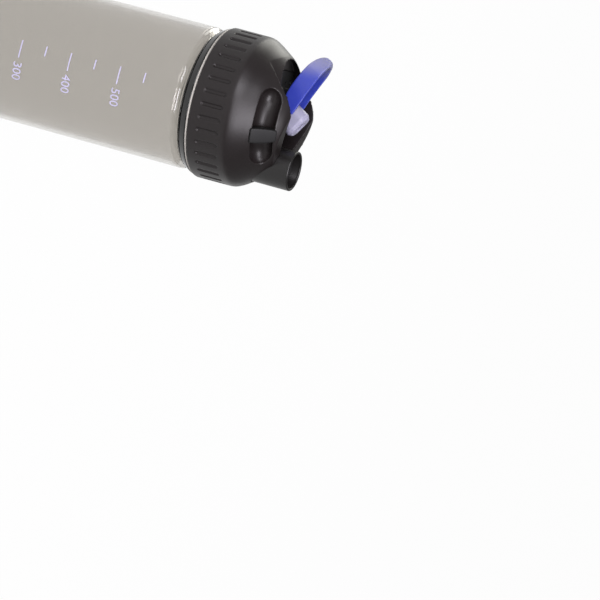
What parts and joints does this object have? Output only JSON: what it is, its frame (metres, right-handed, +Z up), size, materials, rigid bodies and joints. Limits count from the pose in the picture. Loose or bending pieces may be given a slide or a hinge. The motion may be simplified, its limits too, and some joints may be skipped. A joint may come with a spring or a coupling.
{
  "type": "travel water bottle with two outlets",
  "caption": "Clear travel water bottle with a screw-on black domed lid, a blue flip cap over a soft mouthpiece, and a twist-open pouring nozzle.",
  "frame": {"origin": "centre of the bottle's foot, on the table it stands on", "axes": "+Z up along the bottle's axis, +X towards the pouring nozzle, -X the side the open cap leans to"},
  "size_m": [0.0772, 0.0772, 0.2366],
  "materials": {
    "smoke_clear": "gloss",
    "collar_gloss": "gloss",
    "pale_seal": "matte",
    "silicone": "satin",
    "shell_black": "satin",
    "liner_black": "satin",
    "insert_black": "satin",
    "pin_steel": "brushed",
    "cap_blue": "satin",
    "nozzle_black": "satin",
    "o_ring_black": "matte"
  },
  "bodies": {
    "bottle": {"bottle_body": "smoke_clear", "neck_collar": "collar_gloss", "collar_seal": "pale_seal"},
    "gasket": {"neck_gasket": "silicone"},
    "lid": {"lid_shell": "shell_black", "lid_liner": "liner_black", "liner_gasket": "silicone", "channel_insert": "insert_black", "lanyard_bar_front": "insert_black", "lanyard_bar_back": "insert_black", "hinge_pin": "pin_steel", "mouthpiece": "silicone", "mouthpiece_stem": "liner_black", "mouthpiece_clamp": "liner_black", "vent_valve": "silicone", "valve_seat": "silicone", "nozzle_washer": "pale_seal"},
    "cap": {"flip_cap": "cap_blue", "cap_pad": "silicone"},
    "nozzle": {"pour_nozzle": "nozzle_black", "nozzle_o_ring": "o_ring_black", "flow_insert": "liner_black"}
  },
  "joints": [
    {"name": "lid_turn", "type": "hinge", "parent": "gasket", "child": "lid", "pos_m": [0, 0, 0.182], "axis": [0, 0, 1], "range_deg": [0, 450]},
    {"name": "lid_lift", "type": "slide", "parent": "bottle", "child": "gasket", "axis": [0, 0, 1], "range_m": [0, 0.005]},
    {"name": "cap_hinge", "type": "hinge", "parent": "lid", "child": "cap", "pos_m": [-0.0132, 0, 0.2218], "axis": [0, 1, 0], "range_deg": [0, 155], "deforming": ["mouthpiece"]},
    {"name": "nozzle_twist", "type": "hinge", "parent": "lid", "child": "nozzle", "pos_m": [0.0232, 0, 0.212], "axis": [0, 0, 1], "range_deg": [0, 180]}
  ],
  "couplings": [
    {"joint": "lid_lift", "follows": "lid_turn", "m_per_rad": 0.00063662}
  ]
}
